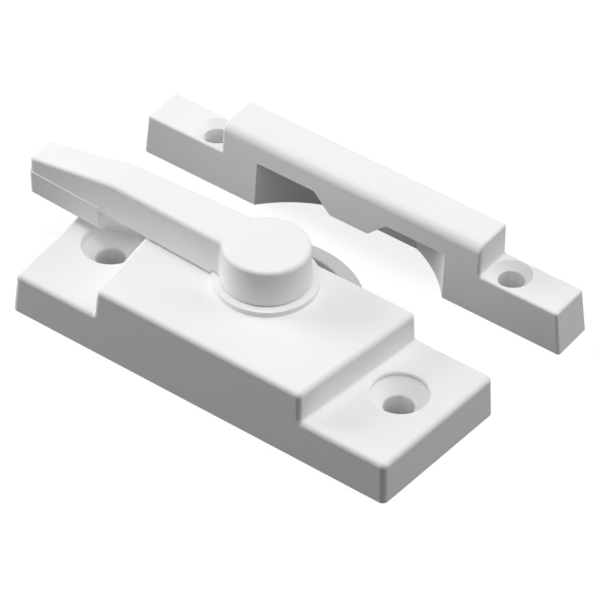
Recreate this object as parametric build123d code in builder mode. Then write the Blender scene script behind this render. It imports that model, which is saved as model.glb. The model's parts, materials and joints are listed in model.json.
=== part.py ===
from build123d import *
import os
from math import asin, cos, radians, sin, tan

# Cam lock for a sliding window, with the keeper that its cam hooks into.
# Origin on the mounting plane, midway between the two screw holes of the lock.
# +X runs along the lock, +Y from the room side to the keeper, +Z up from the plane.
# Lengths are in millimetres and angles in degrees.

# Lock housing, outside
housing_length = 77.5
housing_depth = 29.1
ear_height = 7.9
body_length = 43.8
body_height = 13.4
ear_flare = 4.1
body_flare = 7.2
end_draft = 4.6
front_draft = 3.0
rear_draft = 0.5
corner_radius = 1.1
foot_radius = 0.4
edge_radius = 0.95

# Lock housing, screw holes
hole_spacing = 60.3
hole_to_front = 16.3
hole_diameter = 5.3
sink_diameter = 9.8
sink_angle = 90
sink_lip = 0.9
sink_rim_radius = 0.45
sink_hole_radius = 0.4

# Lock housing, inside
roof_thickness = 2.4
front_wall = 2.5
rear_wall = 2.2
side_wall = 2.3
ear_wall = 2.0
ear_roof = 2.3
screw_boss_wall = 1.6
pocket_radius = 1.5
spindle_boss_diameter = 12.6
spindle_boss_drop = 1.3
slot_top_clearance = 0.7
slot_side_clearance = 0.4

# Ring that the lever's hub turns over
ring_diameter = 18.3
ring_height = 1.0
ring_rounding = 0.9
ring_root = 1.0

# Stop peg on the housing and its groove under the hub
stop_peg_diameter = 1.8
stop_peg_height = 1.3
stop_circle_diameter = 11.6
stop_clearance = 0.2

# Lever
hub_base_diameter = 15.5
hub_height = 6.9
hub_draft = 2.5
hub_gap = 0.2
lever_reach = 48.65
bar_root_width = 9.6
tip_width = 5.9
bar_thickness = 7.6
bend_from_pivot = 30.5
bend_drop = 0.45
tip_drop = 3.95
hub_crown_radius = 100.0
bend_radius = 15.0
bar_draft = 1.0
grip_drop = 3.85
grip_length = 16.4
grip_end_radius = 0.9
grip_draft = 1.5
seam_rise = 0.7
seam_step = 0.12
tip_radius = 1.1
lever_edge_radius = 0.75
hub_blend_radius = 1.6
ring_relief = 0.15

# Spindle, cast with the lever and peened over below the cam
spindle_diameter = 7.9
spindle_clearance = 0.05
square_width = 5.4
square_clearance = 0.05
peen_diameter = 8.4
peen_height = 0.9

# Cam
cam_radius = 17.0
cam_bottom = 3.2
cam_top = 8.7
cam_plate_thickness = 1.5
cam_hub_diameter = 12.0
cam_hub_height = 5.4
cam_rim_thickness = 2.8
cam_span = 136
cam_end_radius = 1.0
cam_edge_radius = 0.4
cam_swing_clearance = 0.5

# Washers
retaining_washer_thickness = 0.8
retaining_washer_diameter = 11.4
spring_washer_thickness = 0.4
spring_washer_diameter = 11.4
spring_washer_play = 0.05
washer_bore_clearance = 0.15

# Keeper
keeper_offset = -2.6
keeper_gap = 18.4
keeper_length = 88.9
keeper_depth = 8.6
keeper_ear_height = 8.4
keeper_body_length = 55.3
keeper_height = 14.8
keeper_left_draft = 4.5
keeper_right_draft = 9.0
keeper_step_draft = 1.6
keeper_face_draft = 1.2
keeper_front_radius = 2.0
keeper_edge_radius = 0.5
keeper_hole_spacing = 62.8
keeper_hole_diameter = 4.7
keeper_sink_diameter = 7.2
keeper_sink_angle = 82
keeper_wall = 1.8
keeper_roof = 2.4
keeper_foot_radius = 0.3
recess_radius = 25.7
recess_centre_ahead = 16.0
recess_centre_shift = 0.3
recess_back_wall = 0.7
recess_height = 9.5
tongue_width = 8.1
tongue_drop = 3.6
tongue_thickness = 2.2
tongue_slope = 45
tongue_root_radius = 3.5
tongue_tip_radius = 0.6

# Edges and corners within this distance of a place are taken to be at it
touching = 0.01

# Places that follow from the sizes
front_y = -hole_to_front
rear_y = front_y + housing_depth
pivot_y = front_y + front_wall + cam_swing_clearance + cam_radius
pivot = (0, pivot_y)
ceiling = body_height - roof_thickness
boss_bottom = ceiling - spindle_boss_drop
ring_top = body_height + ring_height
hub_bottom = ring_top + hub_gap
hub_top = hub_bottom + hub_height
bar_bottom = hub_top - bar_thickness
grip_start = lever_reach - grip_length
sloped_length = lever_reach - bend_from_pivot
seam_height = bar_bottom + seam_rise
groove_top = ring_top + stop_peg_height + stop_clearance
grip_bottom = bar_bottom - grip_drop
cam_hub_top = cam_bottom + cam_hub_height
washer_bottom = cam_bottom - retaining_washer_thickness
keeper_front_y = rear_y + keeper_gap
keeper_rear_y = keeper_front_y + keeper_depth

os.makedirs("parts", exist_ok=True)


def flared_plan(length, flare, draft, z):
    """Corners of the housing's plan at a height, wider towards the rear."""
    near = front_y + z * tan(radians(front_draft))
    far = rear_y - z * tan(radians(rear_draft))
    half = length / 2 - z * tan(radians(draft))
    near_half = half + (near - front_y) * tan(radians(flare))
    far_half = half + (far - front_y) * tan(radians(flare))
    return [(-near_half, near), (near_half, near), (far_half, far), (-far_half, far)]


def pocket_plan(inner, outer, near, far):
    """Corners of an ear's pocket, whose sides follow the flares of body and ear."""
    inner_spread = (far - near) * tan(radians(body_flare))
    outer_spread = (far - near) * tan(radians(ear_flare))
    return [(inner, near), (outer, near), (outer + outer_spread, far), (inner + inner_spread, far)]


def upright(edge):
    """True for an edge that runs mostly up the part."""
    return abs(edge.tangent_at(0.5).Z) > 0.9


def across(edge):
    """True for an edge that runs mostly from front to rear."""
    return abs(edge.tangent_at(0.5).Y) > 0.9


# Housing: one casting with two low ears, a raised middle and an open underside
with BuildPart() as housing:
    for length, flare, height in (
        (housing_length, ear_flare, ear_height),
        (body_length, body_flare, body_height),
    ):
        for z in (0, height):
            with BuildSketch(Plane.XY.offset(z)):
                Polygon(*flared_plan(length, flare, end_draft, z), align=None)
        loft()

    ear_corners = housing.edges().filter_by(upright).sort_by(lambda e: abs(e.center().X))[-4:]
    fillet(ear_corners, corner_radius)
    feet = housing.edges().filter_by(across).filter_by(lambda e: e.is_interior)
    fillet(feet, foot_radius)
    rims = housing.edges().filter_by(lambda e: e.bounding_box().min.Z > ear_height - touching)
    fillet(rims.filter_by(lambda e: not e.is_interior), edge_radius)

    # Pocket of the mechanism, wide enough for the cam to swing into
    body_inner = body_length / 2 - side_wall
    cavity_near = pivot_y - cam_radius - cam_swing_clearance
    cavity_far = rear_y - rear_wall
    cavity_spread = (cavity_far - cavity_near) * tan(radians(body_flare))
    with BuildSketch():
        Polygon(
            (-body_inner, cavity_near),
            (body_inner, cavity_near),
            (body_inner + cavity_spread, cavity_far),
            (-body_inner - cavity_spread, cavity_far),
            align=None,
        )
        fillet(vertices(), pocket_radius)
    extrude(amount=ceiling, mode=Mode.SUBTRACT)

    # Pocket under each ear, round the boss of its screw hole
    ear_inner = body_length / 2
    ear_outer = housing_length / 2 - ear_wall - ear_height * tan(radians(end_draft))
    for side in (-1, 1):
        with BuildSketch():
            near = front_y + front_wall
            far = rear_y - rear_wall
            corners = pocket_plan(ear_inner, ear_outer, near, far)
            Polygon(*[(side * x, y) for x, y in corners], align=None)
            fillet(vertices(), pocket_radius)
            with Locations((side * hole_spacing / 2, 0)):
                Circle(sink_diameter / 2 + screw_boss_wall, mode=Mode.SUBTRACT)
        extrude(amount=ear_height - ear_roof, mode=Mode.SUBTRACT)

    # Screw holes, each sunk a little below the ear
    with Locations(*[(side * hole_spacing / 2, 0, ear_height) for side in (-1, 1)]):
        Hole(sink_diameter / 2, depth=sink_lip)
    with Locations(*[(side * hole_spacing / 2, 0, ear_height - sink_lip) for side in (-1, 1)]):
        CounterSinkHole(hole_diameter / 2, sink_diameter / 2, counter_sink_angle=sink_angle)
    circles = housing.edges().filter_by(GeomType.CIRCLE)
    sink_rims = circles.filter_by(lambda e: abs(e.radius - sink_diameter / 2) < touching)
    sink_rims = sink_rims.filter_by(lambda e: abs(e.center().Z - ear_height) < touching)
    fillet(sink_rims, sink_rim_radius)
    circles = housing.edges().filter_by(GeomType.CIRCLE)
    throats = circles.filter_by(lambda e: abs(e.radius - hole_diameter / 2) < touching)
    throats = throats.filter_by(lambda e: e.center().Z > touching)
    fillet(throats, sink_hole_radius)

    # Boss that lengthens the spindle's bearing
    with BuildSketch(Plane.XY.offset(boss_bottom)):
        with Locations(pivot):
            Circle(spindle_boss_diameter / 2)
    extrude(amount=ceiling - boss_bottom + roof_thickness / 2)

    # Slot through the rear wall for the cam
    slot_top = cam_top + slot_top_clearance
    slot_half = (cam_radius**2 - (cavity_far - pivot_y) ** 2) ** 0.5 + slot_side_clearance
    with BuildSketch():
        with Locations((0, rear_y)):
            Rectangle(2 * slot_half, 4 * rear_wall)
    extrude(amount=slot_top, mode=Mode.SUBTRACT)

    # Ring with a rounded shoulder, flush with the rear face where it reaches it
    with BuildSketch(Plane.XZ.offset(-pivot_y)) as ring_section:
        with Locations((ring_diameter / 4, body_height + (ring_height - ring_root) / 2)):
            Rectangle(ring_diameter / 2, ring_height + ring_root)
        shoulder = ring_section.vertices().sort_by(Axis.X)[-2:].sort_by(Axis.Z)[-1]
        fillet(shoulder, ring_rounding)
    revolve(axis=Axis((0, pivot_y, 0), (0, 0, 1)))
    with BuildSketch(Plane.XY.offset(body_height - ring_root)):
        with Locations((0, rear_y)):
            Rectangle(ring_diameter, ring_diameter, align=(Align.CENTER, Align.MIN))
    extrude(amount=ring_root + ring_height, mode=Mode.SUBTRACT)

    # Stop peg and the spindle's bore
    with BuildSketch(Plane.XY.offset(body_height)):
        with Locations((stop_circle_diameter / 2, pivot_y)):
            Circle(stop_peg_diameter / 2)
    extrude(amount=ring_height + stop_peg_height)
    with Locations((0, pivot_y, ring_top)):
        Hole(spindle_diameter / 2 + spindle_clearance, depth=ring_top - boss_bottom)
housing.part.label = "housing"

# Lever: tapering bar with a hanging grip, hub and spindle in one casting
with BuildPart() as lever:
    bar_taper = (bar_root_width - tip_width) / 2 / lever_reach
    with BuildSketch(Plane.XY.offset(bar_bottom)):
        Polygon(
            (0, pivot_y - bar_root_width / 2),
            (0, pivot_y + bar_root_width / 2),
            (-lever_reach, pivot_y + tip_width / 2),
            (-lever_reach, pivot_y - tip_width / 2),
            align=None,
        )
        fillet(vertices().sort_by(Axis.X)[:2], tip_radius)
    extrude(amount=bar_thickness, taper=bar_draft)

    # Grip under the bar's outer end, a little proud of it along the casting's seam
    grip_inner_half = bar_root_width / 2 - bar_taper * grip_start + seam_step
    grip_outer_half = tip_width / 2 + seam_step
    with BuildSketch(Plane.XY.offset(seam_height)):
        Polygon(
            (-grip_start, pivot_y - grip_inner_half),
            (-grip_start, pivot_y + grip_inner_half),
            (-lever_reach - seam_step, pivot_y + grip_outer_half),
            (-lever_reach - seam_step, pivot_y - grip_outer_half),
            align=None,
        )
        fillet(vertices().sort_by(Axis.X)[:2], tip_radius)
        fillet(vertices().sort_by(Axis.X)[-2:], grip_end_radius)
    extrude(amount=grip_bottom - seam_height, taper=grip_draft)

    # Hub, with room under the bar's root for the housing's ring
    with BuildSketch(Plane.XY.offset(bar_bottom)):
        with Locations(pivot):
            Circle(ring_diameter / 2 + ring_relief)
    extrude(amount=hub_bottom - bar_bottom, mode=Mode.SUBTRACT)
    with BuildSketch(Plane.XY.offset(hub_bottom)):
        with Locations(pivot):
            Circle(hub_base_diameter / 2)
    extrude(amount=hub_height, taper=hub_draft)
    roots = lever.edges().filter_by(upright).filter_by(
        lambda e: -hub_base_diameter / 2 < e.center().X < 0 and e.bounding_box().max.Z > hub_top - touching
    )
    fillet(roots, hub_blend_radius)

    # Top that falls gently from the pivot to the bend and faster from there to the tip
    with BuildSketch(Plane.XZ.offset(-pivot_y)):
        Polygon(
            (hub_base_diameter, hub_top),
            (0, hub_top),
            (-bend_from_pivot, hub_top - bend_drop),
            (-bend_from_pivot - 2 * sloped_length, hub_top + bend_drop - 2 * tip_drop),
            (-bend_from_pivot - 2 * sloped_length, hub_top + tip_drop),
            (hub_base_diameter, hub_top + tip_drop),
            align=None,
        )
        fillet(vertices().sort_by_distance((0, hub_top))[0], hub_crown_radius)
        fillet(vertices().sort_by_distance((-bend_from_pivot, hub_top))[0], bend_radius)
    extrude(amount=hub_base_diameter, both=True, mode=Mode.SUBTRACT)
    hub_rims = lever.edges().filter_by(GeomType.CIRCLE).filter_by(
        lambda e: e.bounding_box().min.Z > hub_top - touching
    )
    fillet(hub_rims, lever_edge_radius)

    # Groove that the stop peg runs in, as long as the lever's travel
    groove_radius = stop_circle_diameter / 2
    groove_half = stop_peg_diameter / 2 + stop_clearance
    with BuildSketch(Plane.XY.offset(hub_bottom)):
        with Locations(pivot):
            Circle(groove_radius + groove_half)
            Circle(groove_radius - groove_half, mode=Mode.SUBTRACT)
            Rectangle(
                stop_circle_diameter * 2,
                stop_circle_diameter,
                align=(Align.CENTER, Align.MIN),
                mode=Mode.SUBTRACT,
            )
        with Locations((groove_radius, pivot_y), (-groove_radius, pivot_y)):
            Circle(groove_half)
    extrude(amount=groove_top - hub_bottom, mode=Mode.SUBTRACT)

    # Spindle: round through the housing, square through cam and washer, peened below
    with BuildSketch(Plane.XY.offset(hub_bottom)):
        with Locations(pivot):
            Circle(spindle_diameter / 2)
    extrude(amount=cam_hub_top - hub_bottom)
    with BuildSketch(Plane.XY.offset(cam_hub_top)):
        with Locations(pivot):
            Rectangle(square_width, square_width)
    extrude(amount=washer_bottom - cam_hub_top)
    with BuildSketch(Plane.XY.offset(washer_bottom)):
        with Locations(pivot):
            Circle(peen_diameter / 2)
    extrude(amount=-peen_height)
    fillet(lever.faces().sort_by(Axis.Z)[0].edges(), peen_height / 2)
lever.part.label = "lever"

# Cam: sector plate on a square-holed hub, with a rim that stands up along its edge
with BuildPart() as cam:
    swing = cam_radius * 2
    with BuildSketch(Plane.XY.offset(cam_bottom)):
        with Locations(pivot):
            Circle(cam_radius)
        Polygon(
            pivot,
            (swing * sin(radians(cam_span / 2)), pivot_y + swing * cos(radians(cam_span / 2))),
            (swing, pivot_y + swing),
            (-swing, pivot_y + swing),
            (-swing * sin(radians(cam_span / 2)), pivot_y + swing * cos(radians(cam_span / 2))),
            align=None,
            mode=Mode.INTERSECT,
        )
    extrude(amount=cam_top - cam_bottom)
    cam_ends = cam.edges().filter_by(Axis.Z).filter_by(lambda e: e.center().Y > pivot_y + touching)
    fillet(cam_ends, cam_end_radius)
    with BuildSketch(Plane.XY.offset(cam_bottom + cam_plate_thickness)):
        with Locations(pivot):
            Circle(cam_radius - cam_rim_thickness)
    extrude(amount=cam_top - cam_bottom, mode=Mode.SUBTRACT)
    fillet(cam.faces().sort_by(Axis.Z)[-1].edges(), cam_edge_radius)
    with BuildSketch(Plane.XY.offset(cam_bottom)):
        with Locations(pivot):
            Circle(cam_hub_diameter / 2)
    extrude(amount=cam_hub_height)
    with BuildSketch(Plane.XY.offset(cam_bottom)):
        with Locations(pivot):
            Rectangle(square_width + 2 * square_clearance, square_width + 2 * square_clearance)
    extrude(amount=cam_hub_height, mode=Mode.SUBTRACT)
cam.part.label = "cam"

# Spring washer: a shallow cone that takes up the play between boss and cam
with BuildPart() as spring_washer:
    washer_inner = spindle_diameter / 2 + washer_bore_clearance
    washer_outer = spring_washer_diameter / 2
    washer_low = cam_hub_top + spring_washer_play
    washer_high = boss_bottom - spring_washer_play
    with BuildSketch(Plane.XZ.offset(-pivot_y)):
        Polygon(
            (washer_outer, washer_low),
            (washer_outer, washer_low + spring_washer_thickness),
            (washer_inner, washer_high),
            (washer_inner, washer_high - spring_washer_thickness),
            align=None,
        )
    revolve(axis=Axis((0, pivot_y, 0), (0, 0, 1)))
spring_washer.part.label = "spring_washer"

# Retaining washer between the cam and the peened end
with BuildPart() as retaining_washer:
    with BuildSketch(Plane.XY.offset(washer_bottom)):
        with Locations(pivot):
            Circle(retaining_washer_diameter / 2)
            Rectangle(
                square_width + 2 * square_clearance,
                square_width + 2 * square_clearance,
                mode=Mode.SUBTRACT,
            )
    extrude(amount=retaining_washer_thickness)
retaining_washer.part.label = "retaining_washer"

# Space inside the keeper's recess, with the tongue left standing at its front
recess_x = keeper_offset + recess_centre_shift
recess_reach = 2 * recess_radius
with BuildPart() as recess:
    root_half = tongue_width / 2 + tongue_drop / tan(radians(tongue_slope))
    tongue_bottom = recess_height - tongue_drop
    with BuildSketch(Plane.XZ.offset(-keeper_front_y + keeper_depth)) as arch:
        Polygon(
            (recess_x - recess_reach, 0),
            (recess_x - recess_reach, recess_height),
            (recess_x - root_half, recess_height),
            (recess_x - tongue_width / 2, tongue_bottom),
            (recess_x + tongue_width / 2, tongue_bottom),
            (recess_x + root_half, recess_height),
            (recess_x + recess_reach, recess_height),
            (recess_x + recess_reach, 0),
            align=None,
        )
        inner = arch.vertices().filter_by(lambda v: abs(v.X - recess_x) < recess_radius)
        fillet(inner.filter_by(lambda v: v.Z < recess_height - touching), tongue_tip_radius)
        inner = arch.vertices().filter_by(lambda v: abs(v.X - recess_x) < recess_radius)
        fillet(inner.filter_by(lambda v: v.Z > recess_height - touching), tongue_root_radius)
    extrude(amount=-keeper_depth - tongue_thickness)
    with BuildSketch():
        with Locations((recess_x, keeper_front_y + tongue_thickness)):
            Rectangle(2 * recess_reach, keeper_depth, align=(Align.CENTER, Align.MIN))
    extrude(amount=recess_height)
    with BuildSketch():
        with Locations((recess_x, keeper_front_y - recess_centre_ahead)):
            Circle(recess_radius)
        with Locations((recess_x, keeper_rear_y - recess_back_wall)):
            Rectangle(
                2 * recess_reach,
                2 * keeper_depth,
                align=(Align.CENTER, Align.MAX),
                mode=Mode.INTERSECT,
            )
    extrude(amount=recess_height, mode=Mode.INTERSECT)

# Keeper: one casting with two ears, a raised middle and the recess for the cam
with BuildPart() as keeper:
    keeper_middle = (keeper_offset, keeper_front_y + keeper_depth / 2)
    for length, height, left_draft, right_draft in (
        (keeper_length, keeper_ear_height, keeper_left_draft, keeper_right_draft),
        (keeper_body_length, keeper_height, keeper_step_draft, keeper_step_draft),
    ):
        for z in (0, height):
            left_lean = z * tan(radians(left_draft))
            right_lean = z * tan(radians(right_draft))
            with BuildSketch(Plane.XY.offset(z)):
                with Locations((keeper_middle[0] + (left_lean - right_lean) / 2, keeper_middle[1])):
                    Rectangle(
                        length - left_lean - right_lean,
                        keeper_depth - 2 * z * tan(radians(keeper_face_draft)),
                    )
        loft()
    keeper_feet = keeper.edges().filter_by(across).filter_by(lambda e: e.is_interior)
    fillet(keeper_feet, keeper_foot_radius)
    front_crest = keeper.edges().filter_by(Axis.X).group_by(Axis.Z)[-1].sort_by(Axis.Y)[0]
    fillet(front_crest, keeper_front_radius)
    sharp = keeper.edges().filter_by(lambda e: e.bounding_box().max.Z > keeper_ear_height - touching)
    sharp = sharp.filter_by(lambda e: not e.is_interior)
    behind_crest = keeper_front_y + keeper_front_radius + keeper_foot_radius
    sharp = sharp.filter_by(
        lambda e: e.center().Y > behind_crest or e.center().Z < keeper_ear_height + touching
    )
    fillet(sharp, keeper_edge_radius)
    add(recess.part, mode=Mode.SUBTRACT)
    screw_x = keeper_hole_spacing / 2
    ear_seats = [(keeper_offset + side * screw_x, keeper_middle[1], keeper_ear_height) for side in (-1, 1)]
    with Locations(*ear_seats):
        CounterSinkHole(
            keeper_hole_diameter / 2,
            keeper_sink_diameter / 2,
            counter_sink_angle=keeper_sink_angle,
        )

    # Pockets underneath, on both sides of each screw hole
    hole_room = keeper_hole_diameter / 2 + screw_boss_wall
    body_side = keeper_body_length / 2 - keeper_wall
    recess_side = recess_radius * cos(asin(recess_centre_ahead / recess_radius)) + keeper_wall
    ear_side = keeper_length / 2 - keeper_wall
    for inner_x, outer_x, depth in (
        (recess_side, min(body_side, screw_x - hole_room), keeper_height - keeper_roof),
        (screw_x + hole_room, ear_side, keeper_ear_height - keeper_roof),
    ):
        pocket_x = (inner_x + outer_x) / 2
        with BuildSketch():
            with Locations(*[(keeper_offset + side * pocket_x, keeper_middle[1]) for side in (-1, 1)]):
                Rectangle(outer_x - inner_x, keeper_depth - 2 * keeper_wall)
        extrude(amount=depth, mode=Mode.SUBTRACT)
keeper.part.label = "keeper"

for node in (housing, lever, cam, spring_washer, retaining_washer, keeper):
    export_step(node.part, f"parts/{node.part.label}.step")
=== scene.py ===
import bpy
import json
from math import cos, radians, sin
from mathutils import Matrix, Vector


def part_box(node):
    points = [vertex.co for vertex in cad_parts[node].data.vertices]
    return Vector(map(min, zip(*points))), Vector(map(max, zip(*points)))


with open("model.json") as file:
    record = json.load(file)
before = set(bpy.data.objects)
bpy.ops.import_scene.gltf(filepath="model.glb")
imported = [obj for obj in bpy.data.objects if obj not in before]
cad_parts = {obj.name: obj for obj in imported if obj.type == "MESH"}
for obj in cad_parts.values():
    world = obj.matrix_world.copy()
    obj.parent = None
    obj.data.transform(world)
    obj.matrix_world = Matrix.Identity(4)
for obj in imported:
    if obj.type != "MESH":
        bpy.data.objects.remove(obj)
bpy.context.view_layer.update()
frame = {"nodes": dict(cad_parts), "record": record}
scene = bpy.context.scene

MM = 0.001
UP = Vector((0.0, 0.0, 1.0))

# How white the paint of the castings and the coat of the cam are, how far that drifts, and their gloss;
# the cam's darker white is partly a greyer coat and partly painted shade, for the shade that falls on it
# below the housing's top
PAINT_WHITE = 0.95
CAM_WHITE_WITH_PAINTED_SHADE = 0.56
TONE_DRIFT = 0.012
PAINT_ROUGHNESS = 0.36
ROUGHNESS_DRIFT = 0.1
PAINT_SPECULAR = 0.3

# Widths in the paint in mm: the soft clouds of its drift, its orange peel and the fine grain in that
CLOUD_WIDTH = 14.0
PEEL_WIDTH = 0.7
GRAIN_WIDTH = 0.22

# Share of the peel and of the grain in the paint's height, its depth in mm and how strongly it shows
PEEL_SHARE = 0.7
GRAIN_SHARE = 0.3
PEEL_DEPTH = 0.02
PEEL_STRENGTH = 0.5

# Washers: darkest and lightest tone of the steel, its least roughness and what the marks add to that
STEEL_DARK = (0.50, 0.50, 0.52, 1.0)
STEEL_LIGHT = (0.68, 0.68, 0.69, 1.0)
STEEL_ROUGHNESS = 0.28
MARK_ROUGHNESS = 0.22

# Widths of the steel's clouds and turning marks in mm, and the squeeze, depth and strength of the marks
STEEL_CLOUD_WIDTH = 3.0
MARK_WIDTH = 0.35
MARK_SQUEEZE = (1.0, 1.0, 6.0)
MARK_DEPTH = 0.02
MARK_STRENGTH = 0.6

# The floor: size in metres, its own white, its glow to camera and reflections, and what it throws back
FLOOR_SIZE = 8.0
FLOOR_SHOWN = 0.25
FLOOR_GLOW = 0.82
FLOOR_BOUNCE = 0.04

# Edge of the floor's dark patches of painted shade: its softness, and how far it lies inside the housing
# and round a hole
PAINTED_SHADE_SOFTNESS = 0.3 * MM
INSIDE_ENDS = 2.4 * MM
INSIDE_SIDES = 0.3 * MM
ROUND_HOLE = 0.6 * MM

# Light from all round: its strength, and how white the studio shows in reflections
SURROUNDING_LIGHT = 0.02
STUDIO_REFLECTED = 0.3

# Square lamps in metres, all pointed at the middle of the lock and keeper
LIT_POINT = Vector((0.0, 0.015, 0.0))
SOFTBOX_SIZE = 0.34
SOFTBOX_DISTANCE = 0.62

# Name, azimuth from the front towards the right and elevation in degrees, power in watts
SOFTBOXES = (
    ("Overhead", 0, 90, 0.96),
    ("High front", 0, 68, 0.72),
    ("High right", 90, 68, 0.4),
    ("Upper left", 270, 45, 0.26),
    ("Left side", 285, 20, 2.15),
    ("Upper right rear", 135, 45, 0.92),
    ("Right rear", 135, 20, 0.5),
    ("Rear", 180, 20, 0.43),
)

# The photograph's view: angles in degrees, lengths in metres, focal length in pixels of its 600
VIEW_AZIMUTH = 34.414
VIEW_ELEVATION = 41.765
VIEW_ROLL = 2.277
VIEW_TARGET = Vector((-0.001146, 0.015669, 0.0))
VIEW_DISTANCE = 0.599152
FOCAL_PIXELS = 3482.179
PHOTO_PIXELS = 600.0
SENSOR_WIDTH = 36.0
CLIP_START = 0.01


def grey(level):
    """A colour with the same red, green and blue."""
    return (level, level, level, 1.0)


def direction(azimuth, elevation):
    """The way from the lock to something at these angles in degrees."""
    turn = radians(azimuth)
    rise = radians(elevation)
    return Vector((sin(turn) * cos(rise), -cos(turn) * cos(rise), sin(rise)))


class Field:
    """A shader value that can be written in expressions."""

    def __init__(self, nodes, socket):
        self.nodes = nodes
        self.socket = socket

    def math(self, operation, *values):
        return self.nodes.node("ShaderNodeMath", {"operation": operation}, values)

    def __add__(self, other):
        return self.math("ADD", self, other)

    __radd__ = __add__

    def __sub__(self, other):
        return self.math("SUBTRACT", self, other)

    def __rsub__(self, other):
        return self.math("SUBTRACT", other, self)

    def __mul__(self, other):
        return self.math("MULTIPLY", self, other)

    __rmul__ = __mul__

    def __abs__(self):
        return self.math("ABSOLUTE", self)

    def larger(self, other):
        """The larger of two values."""
        return self.math("MAXIMUM", self, other)

    def fade(self, start, end):
        """0 where the value is at start and 1 at end, with a smooth change between."""
        settings = {"interpolation_type": "SMOOTHSTEP"}
        values = {"Value": self, "From Min": start, "From Max": end}
        return self.nodes.node("ShaderNodeMapRange", settings, values)


class Nodes:
    """The shader nodes of a material or of the world."""

    def __init__(self, owner, output_kind):
        owner.use_nodes = True
        self.owner = owner
        self.output_kind = output_kind
        self.tree = owner.node_tree
        self.tree.nodes.clear()

    def node(self, kind, settings, values, output=0):
        """Adds a node, sets and links it, and gives back one of its outputs."""
        made = self.tree.nodes.new(kind)
        for key, value in settings.items():
            setattr(made, key, value)
        pairs = values.items() if isinstance(values, dict) else enumerate(values)
        for key, value in pairs:
            if isinstance(value, Field):
                self.tree.links.new(value.socket, made.inputs[key])
            else:
                made.inputs[key].default_value = value
        return None if output is None else Field(self, made.outputs[output])

    def direct_rays(self):
        """Two fields: 1 for rays from the camera, and 1 for rays off gloss or through a clear material."""
        rays = ("Is Camera Ray", "Is Glossy Ray", "Is Transmission Ray")
        camera, glossy, clear = [self.node("ShaderNodeLightPath", {}, {}, output=ray) for ray in rays]
        return camera, glossy.larger(clear)

    def end(self, shader):
        """Joins a shader to the output and gives back the material or world."""
        self.node(self.output_kind, {}, {"Surface": shader}, output=None)
        return self.owner


class Finish(Nodes):
    """A material made of procedural nodes on Object coordinates."""

    def __init__(self, name):
        super().__init__(bpy.data.materials.new(name), "ShaderNodeOutputMaterial")
        self.place = self.node("ShaderNodeTexCoord", {}, {}, output="Object")

    def axis(self, letter):
        """One of the Object coordinates X, Y and Z."""
        return self.node("ShaderNodeSeparateXYZ", {}, [self.place], output=letter)

    def distance(self, point):
        """Distance from a point."""
        settings = {"operation": "DISTANCE"}
        return self.node("ShaderNodeVectorMath", settings, [self.place, point], output="Value")

    def noise(self, width_mm, detail=2.0, squeeze=(1.0, 1.0, 1.0)):
        """Noise from 0 to 1 whose features are about this wide, or narrower by the squeeze of an axis."""
        placed = self.node("ShaderNodeMapping", {}, {"Vector": self.place, "Scale": squeeze})
        values = {"Vector": placed, "Scale": 1.0 / (width_mm * MM), "Detail": detail}
        return self.node("ShaderNodeTexNoise", {}, values)

    def blend(self, mask, first, second):
        """First colour where mask is 0, second where it is 1."""
        return self.node("ShaderNodeMix", {"data_type": "RGBA"}, {0: mask, 6: first, 7: second}, output=2)

    def bump(self, height, depth_mm, strength):
        """A rough surface for the Normal socket."""
        values = {"Strength": strength, "Distance": depth_mm * MM, "Height": height}
        return self.node("ShaderNodeBump", {}, values)

    def surface(self, values):
        """Ends the material in a Principled shader with these sockets."""
        return self.end(self.node("ShaderNodeBsdfPrincipled", {}, values))


def satin_paint(name, white=PAINT_WHITE):
    """White satin paint over a die casting: slight orange peel and soft tone drift."""
    paint = Finish(name)
    drift = paint.noise(CLOUD_WIDTH, detail=3.0)
    height = paint.noise(PEEL_WIDTH) * PEEL_SHARE + paint.noise(GRAIN_WIDTH) * GRAIN_SHARE
    return paint.surface({
        "Base Color": paint.blend(drift, grey(white - TONE_DRIFT), grey(white + TONE_DRIFT)),
        "Roughness": PAINT_ROUGHNESS + drift * ROUGHNESS_DRIFT,
        "Specular IOR Level": PAINT_SPECULAR,
        "Normal": paint.bump(height, PEEL_DEPTH, PEEL_STRENGTH),
    })


def turned_steel(name):
    """Plain steel with fine turning marks and cloudy plating."""
    steel = Finish(name)
    cloud = steel.noise(STEEL_CLOUD_WIDTH, detail=4.0)
    marks = steel.noise(MARK_WIDTH, detail=3.0, squeeze=MARK_SQUEEZE)
    return steel.surface({
        "Base Color": steel.blend(cloud, STEEL_DARK, STEEL_LIGHT),
        "Metallic": 1.0,
        "Roughness": STEEL_ROUGHNESS + marks * MARK_ROUGHNESS,
        "Normal": steel.bump(marks, MARK_DEPTH, MARK_STRENGTH),
    })


def painted_shade_patches(floor):
    """1 on the floor that the housing covers and below the keeper's screw holes, 0 elsewhere: where the
    floor turns dark as painted shade.
    """
    low, high = [Vector(corner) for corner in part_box("housing")]
    middle = (low + high) / 2
    half_length = (high - low).x / 2 - INSIDE_ENDS
    half_depth = (high - low).y / 2 - INSIDE_SIDES
    along = abs(floor.axis("X") - middle.x).fade(half_length, half_length - PAINTED_SHADE_SOFTNESS)
    across = abs(floor.axis("Y") - middle.y).fade(half_depth, half_depth - PAINTED_SHADE_SOFTNESS)
    painted_shade = along * across
    screws = next(mount for mount in frame["record"]["mounts"] if mount["name"] == "keeper_screws")
    spacing = screws["dims"]["spacing_x_mm"] * MM
    painted_shade_radius = screws["dims"]["hole_r_mm"] * MM + ROUND_HOLE
    for side in (-0.5, 0.5):
        hole = Vector(screws["pos_m"]) + Vector((side * spacing, 0.0, 0.0))
        painted_shade = painted_shade + floor.distance(hole).fade(painted_shade_radius, painted_shade_radius - PAINTED_SHADE_SOFTNESS)
    return painted_shade


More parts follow.
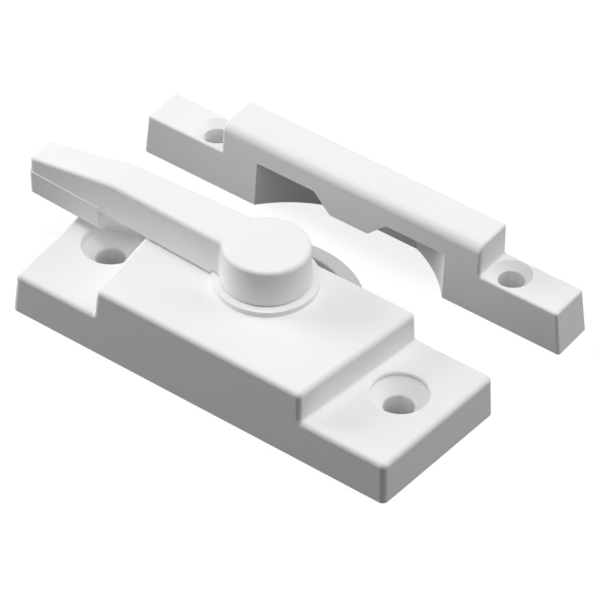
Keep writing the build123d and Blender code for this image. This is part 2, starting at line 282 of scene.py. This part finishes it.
def pale_floor(name):
    """White to the camera and in reflections, with the object's soft shadow on it, and dark patches of
    painted shade where it shows through the housing and the keeper's screw holes.
    """
    floor = Finish(name)
    camera, reflected = floor.direct_rays()
    # Where the patches are, the floor's white glow is off and it shows dark, as painted shade
    lit = camera.larger(reflected) * (1 - painted_shade_patches(floor))
    shown = floor.node("ShaderNodeBsdfDiffuse", {}, {"Color": grey(FLOOR_SHOWN)})
    glow = floor.node("ShaderNodeEmission", {}, {"Color": grey(1.0), "Strength": FLOOR_GLOW})
    white = floor.node("ShaderNodeAddShader", {}, [shown, glow])
    bounce = floor.node("ShaderNodeBsdfDiffuse", {}, {"Color": grey(FLOOR_BOUNCE)})
    return floor.end(floor.node("ShaderNodeMixShader", {}, [lit, bounce, white]))


def floor_under_lock():
    """A plain floor at the mounting plane."""
    bpy.ops.mesh.primitive_plane_add(size=FLOOR_SIZE, location=(0.0, 0.0, 0.0))
    floor = bpy.context.object
    floor.name = "floor"
    floor.data.materials.append(pale_floor("Pale floor"))


def softbox(name, azimuth, elevation, power):
    """A square lamp that points at the lock."""
    towards = direction(azimuth, elevation)
    lamp = bpy.data.lights.new(name, "AREA")
    lamp.shape = "SQUARE"
    lamp.size = SOFTBOX_SIZE
    lamp.energy = power
    holder = bpy.data.objects.new(name, lamp)
    holder.location = LIT_POINT + towards * SOFTBOX_DISTANCE
    holder.rotation_euler = towards.to_track_quat("Z", "Y").to_euler()
    scene.collection.objects.link(holder)


def surrounding_light():
    """Even, faint light from all round, white to the camera and pale in reflections."""
    studio = Nodes(bpy.data.worlds.new("Studio"), "ShaderNodeOutputWorld")
    camera, reflected = studio.direct_rays()
    level = camera * (1 - SURROUNDING_LIGHT) + reflected * (STUDIO_REFLECTED - SURROUNDING_LIGHT)
    values = {"Color": grey(1.0), "Strength": level + SURROUNDING_LIGHT}
    scene.world = studio.end(studio.node("ShaderNodeBackground", {}, values))


def product_camera():
    """A camera at the photograph's viewing angle."""
    back = direction(VIEW_AZIMUTH, VIEW_ELEVATION)
    level_right = UP.cross(back).normalized()
    level_up = back.cross(level_right)
    lean = radians(VIEW_ROLL)
    right = level_right * cos(lean) + level_up * sin(lean)
    up = level_up * cos(lean) - level_right * sin(lean)
    lens = bpy.data.cameras.new("Camera")
    lens.sensor_width = SENSOR_WIDTH
    lens.lens = SENSOR_WIDTH * FOCAL_PIXELS / PHOTO_PIXELS
    lens.clip_start = CLIP_START
    camera = bpy.data.objects.new("Camera", lens)
    axes = Matrix((right, up, back)).transposed().to_4x4()
    camera.matrix_world = Matrix.Translation(VIEW_TARGET + back * VIEW_DISTANCE) @ axes
    scene.collection.objects.link(camera)
    scene.camera = camera


FINISHES = {
    "housing": satin_paint("Housing paint"),
    "lever": satin_paint("Lever paint"),
    # The cam's coat is darker, partly as its own greyer colour and partly as painted shade for the shade
    # it lies in
    "cam": satin_paint("Cam coat", white=CAM_WHITE_WITH_PAINTED_SHADE),
    "keeper": satin_paint("Keeper paint"),
    "spring_washer": turned_steel("Spring steel"),
    "retaining_washer": turned_steel("Washer steel"),
}
for name, finish in FINISHES.items():
    for slot in frame["nodes"][name].material_slots:
        slot.material = finish

floor_under_lock()
for lamp_values in SOFTBOXES:
    softbox(*lamp_values)
surrounding_light()
product_camera()
scene.view_settings.view_transform = "Standard"
